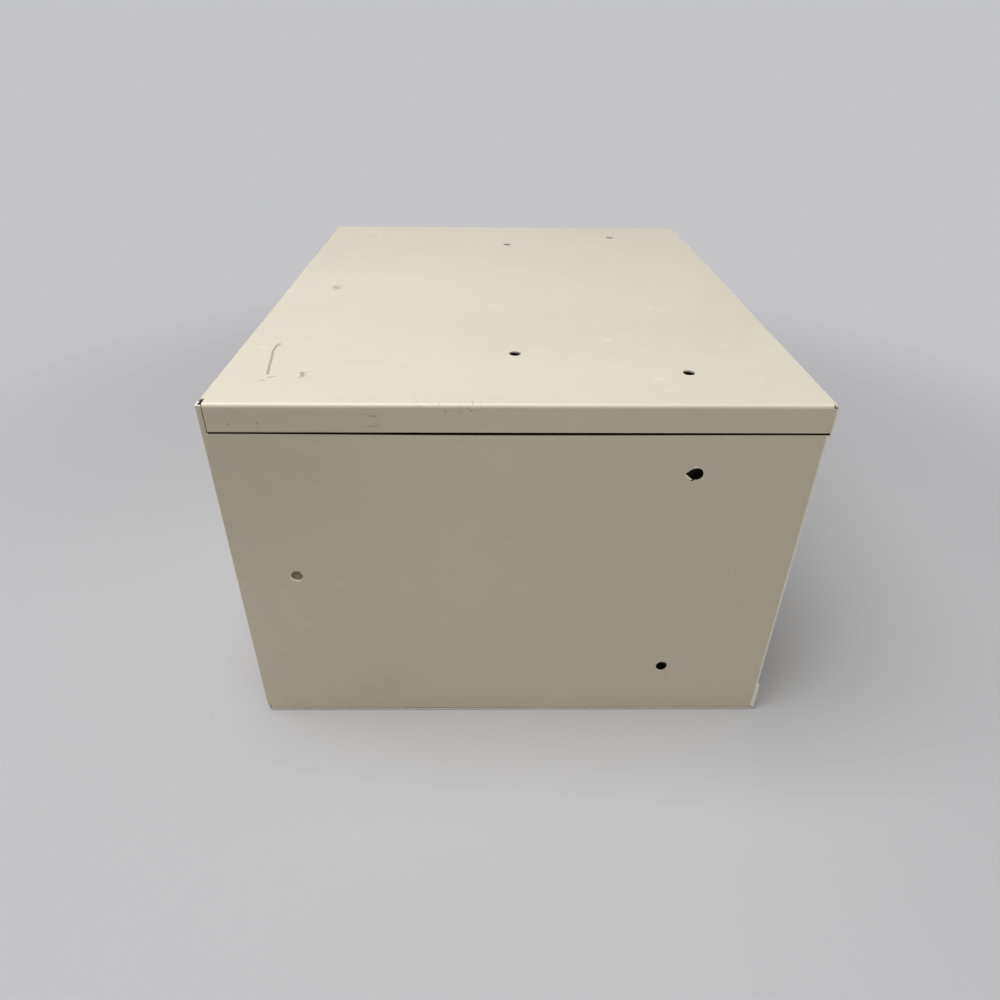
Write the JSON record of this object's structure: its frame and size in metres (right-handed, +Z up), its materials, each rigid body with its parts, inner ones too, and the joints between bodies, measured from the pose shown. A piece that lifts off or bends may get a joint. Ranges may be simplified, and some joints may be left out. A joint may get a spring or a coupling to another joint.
{
  "type": "small parts drawer cabinet",
  "caption": "Beige sheet steel parts cabinet with columns of shallow sliding trays, hooded label pulls, loose dividers and mounting holes in its sides and top.",
  "frame": {"origin": "middle of the base, on the surface that the cabinet stands on", "axes": "+Z up, the drawers open towards -Y, +X to the right of someone facing the drawers"},
  "size_m": [0.376, 0.3154, 0.21],
  "materials": {
    "case_paint": "satin beige paint with light scuffs",
    "tray_paint": "satin beige paint",
    "pull_plate": "nickel plated steel",
    "rivet_plate": "nickel plated steel",
    "divider_zinc": "zinc plated sheet",
    "card": "plain card"
  },
  "bodies": {
    "case": {"wrap": "case_paint", "top_panel": "case_paint", "bottom_panel": "case_paint", "top_stiffener": "case_paint", "centre_upright": "case_paint", "drawer_deck": "case_paint", "shelf_1": "case_paint", "shelf_2": "case_paint", "shelf_3": "case_paint", "drawer_guides": "case_paint"},
    "drawer_bottom_left": {"tray_bottom_left": "tray_paint", "pull_bottom_left": "pull_plate", "pull_rivets_bottom_left": "rivet_plate", "label_card_bottom_left": "card", "front_divider_bottom_left": "divider_zinc", "rear_divider_bottom_left": "divider_zinc"},
    "drawer_bottom_right": {"tray_bottom_right": "tray_paint", "pull_bottom_right": "pull_plate", "pull_rivets_bottom_right": "rivet_plate", "label_card_bottom_right": "card", "front_divider_bottom_right": "divider_zinc", "rear_divider_bottom_right": "divider_zinc"},
    "drawer_lower_left": {"tray_lower_left": "tray_paint", "pull_lower_left": "pull_plate", "pull_rivets_lower_left": "rivet_plate", "label_card_lower_left": "card", "front_divider_lower_left": "divider_zinc", "rear_divider_lower_left": "divider_zinc"},
    "drawer_lower_right": {"tray_lower_right": "tray_paint", "pull_lower_right": "pull_plate", "pull_rivets_lower_right": "rivet_plate", "label_card_lower_right": "card", "front_divider_lower_right": "divider_zinc", "rear_divider_lower_right": "divider_zinc"},
    "drawer_upper_left": {"tray_upper_left": "tray_paint", "pull_upper_left": "pull_plate", "pull_rivets_upper_left": "rivet_plate", "label_card_upper_left": "card", "front_divider_upper_left": "divider_zinc", "rear_divider_upper_left": "divider_zinc"},
    "drawer_upper_right": {"tray_upper_right": "tray_paint", "pull_upper_right": "pull_plate", "pull_rivets_upper_right": "rivet_plate", "label_card_upper_right": "card", "front_divider_upper_right": "divider_zinc", "rear_divider_upper_right": "divider_zinc"},
    "drawer_top_left": {"tray_top_left": "tray_paint", "pull_top_left": "pull_plate", "pull_rivets_top_left": "rivet_plate", "label_card_top_left": "card", "front_divider_top_left": "divider_zinc", "rear_divider_top_left": "divider_zinc"},
    "drawer_top_right": {"tray_top_right": "tray_paint", "pull_top_right": "pull_plate", "pull_rivets_top_right": "rivet_plate", "label_card_top_right": "card", "front_divider_top_right": "divider_zinc", "rear_divider_top_right": "divider_zinc"}
  },
  "joints": [
    {"name": "drawer_bottom_left_slide", "type": "slide", "parent": "case", "child": "drawer_bottom_left", "axis": [0, -1, 0], "range_m": [0, 0.2275]},
    {"name": "drawer_bottom_right_slide", "type": "slide", "parent": "case", "child": "drawer_bottom_right", "axis": [0, -1, 0], "range_m": [0, 0.2275]},
    {"name": "drawer_lower_left_slide", "type": "slide", "parent": "case", "child": "drawer_lower_left", "axis": [0, -1, 0], "range_m": [0, 0.2275]},
    {"name": "drawer_lower_right_slide", "type": "slide", "parent": "case", "child": "drawer_lower_right", "axis": [0, -1, 0], "range_m": [0, 0.2275]},
    {"name": "drawer_upper_left_slide", "type": "slide", "parent": "case", "child": "drawer_upper_left", "axis": [0, -1, 0], "range_m": [0, 0.2275]},
    {"name": "drawer_upper_right_slide", "type": "slide", "parent": "case", "child": "drawer_upper_right", "axis": [0, -1, 0], "range_m": [0, 0.2275]},
    {"name": "drawer_top_left_slide", "type": "slide", "parent": "case", "child": "drawer_top_left", "axis": [0, -1, 0], "range_m": [0, 0.2275]},
    {"name": "drawer_top_right_slide", "type": "slide", "parent": "case", "child": "drawer_top_right", "axis": [0, -1, 0], "range_m": [0, 0.2275]}
  ]
}
